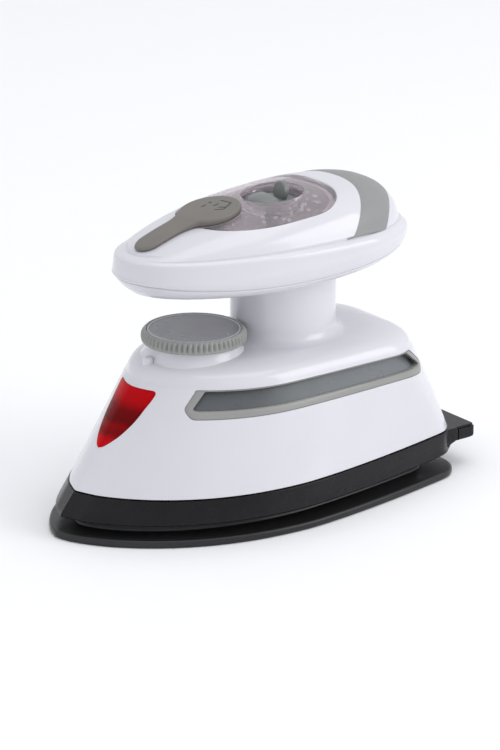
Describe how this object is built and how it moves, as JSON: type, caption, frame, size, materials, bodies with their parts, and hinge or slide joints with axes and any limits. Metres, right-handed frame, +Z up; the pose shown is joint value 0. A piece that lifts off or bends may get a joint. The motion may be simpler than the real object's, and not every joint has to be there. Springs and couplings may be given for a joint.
{
  "type": "travel steam iron",
  "caption": "Compact travel steam iron: pointed soleplate, tapered body on a black skirt, neck-mounted palm handle with water tank, filler cap, steam knob, temperature dial.",
  "frame": {"origin": "point on the soleplate's flat underside, in the middle plane, 73 mm behind the nose tip", "axes": "nose toward -Y, heel toward +Y, +Z up from the soleplate, +X to the left of a user who looks from heel to nose"},
  "size_m": [0.083, 0.1552, 0.105],
  "materials": {
    "sole_alloy": "dark non-stick coat over a cast alloy plate",
    "element_sheath": "oxidised tubular sheath",
    "plated_steel": "zinc plated",
    "red_gasket": "moulded silicone",
    "cover_alloy": "rolled sheet",
    "thermostat_metal": "stamped strip and ceramic stack",
    "ceramic_white": "unglazed",
    "black_plastic": "glossy heat-proof moulding",
    "white_plastic": "cool white, glossy",
    "grey_trim": "satin warm grey",
    "strip_clear": "translucent blue-grey plastic",
    "red_lens": "translucent red plastic",
    "lamp_glass": "small neon lamp",
    "black_rubber": "matte",
    "smoke_window": "smoky mauve-grey clear plastic",
    "tank_clear": "clear water tank",
    "grey_plastic": "moulded",
    "seat_clear": "clear round well",
    "silicone_tube": "translucent silicone",
    "accent_grey": "satin metallic grey, no lettering",
    "dial_grey": "knurled edge",
    "dial_face_grey": "flat face with a thin light ring",
    "knob_grey": "smooth",
    "brass_needle": "turned",
    "taupe_rubber": "soft taupe rubber with an engraved cup mark"
  },
  "bodies": {
    "iron": {"soleplate": "sole_alloy", "heating_element": "element_sheath", "element_pin_right": "plated_steel", "element_pin_left": "plated_steel", "chamber_gasket": "red_gasket", "steam_chamber_cover": "cover_alloy", "thermostat": "thermostat_metal", "thermal_fuse": "ceramic_white", "heat_skirt": "black_plastic", "body_shell": "white_plastic", "side_trim_right": "grey_trim", "side_trim_left": "grey_trim", "side_window_right": "strip_clear", "side_window_left": "strip_clear", "pilot_lens": "red_lens", "pilot_lamp": "lamp_glass", "cord_gland": "black_rubber", "heat_shield": "cover_alloy", "sole_screw_front": "plated_steel", "sole_screw_rear_right": "plated_steel", "sole_screw_rear_left": "plated_steel", "terminal_block": "ceramic_white", "handle_lower_shell": "white_plastic", "handle_screw_front": "plated_steel", "handle_screw_rear": "plated_steel", "handle_upper_shell": "white_plastic", "tank_window": "smoke_window", "water_tank": "tank_clear", "filler_neck": "grey_plastic", "steam_knob_seat": "seat_clear", "valve_spring": "plated_steel", "valve_seat": "grey_plastic", "water_tube": "silicone_tube", "rear_accent_panel": "accent_grey"},
    "dial": {"temperature_dial": "dial_grey", "dial_face": "dial_face_grey", "thermostat_shaft": "plated_steel"},
    "knob": {"steam_knob": "knob_grey"},
    "needle": {"valve_needle": "brass_needle"},
    "cap": {"filler_cap": "taupe_rubber"}
  },
  "joints": [
    {"name": "dial_turn", "type": "hinge", "parent": "iron", "child": "dial", "pos_m": [0, -0.0183, 0.058], "axis": [0, 0, 1], "range_deg": [-270, 0]},
    {"name": "steam_turn", "type": "hinge", "parent": "iron", "child": "knob", "pos_m": [0, 0.013, 0.098], "axis": [0, 0, 1], "range_deg": [0, 90]},
    {"name": "needle_lift", "type": "slide", "parent": "iron", "child": "needle", "axis": [0, 0, 1], "range_m": [0, 0.0015], "deforming": ["valve_spring"]},
    {"name": "filler_open", "type": "hinge", "parent": "iron", "child": "cap", "pos_m": [0, -0.0404, 0.0911], "axis": [1, 0, 0], "range_deg": [0, 100]}
  ],
  "couplings": [
    {"joint": "steam_turn", "follows": "needle_lift", "rad_per_m": 1047}
  ]
}
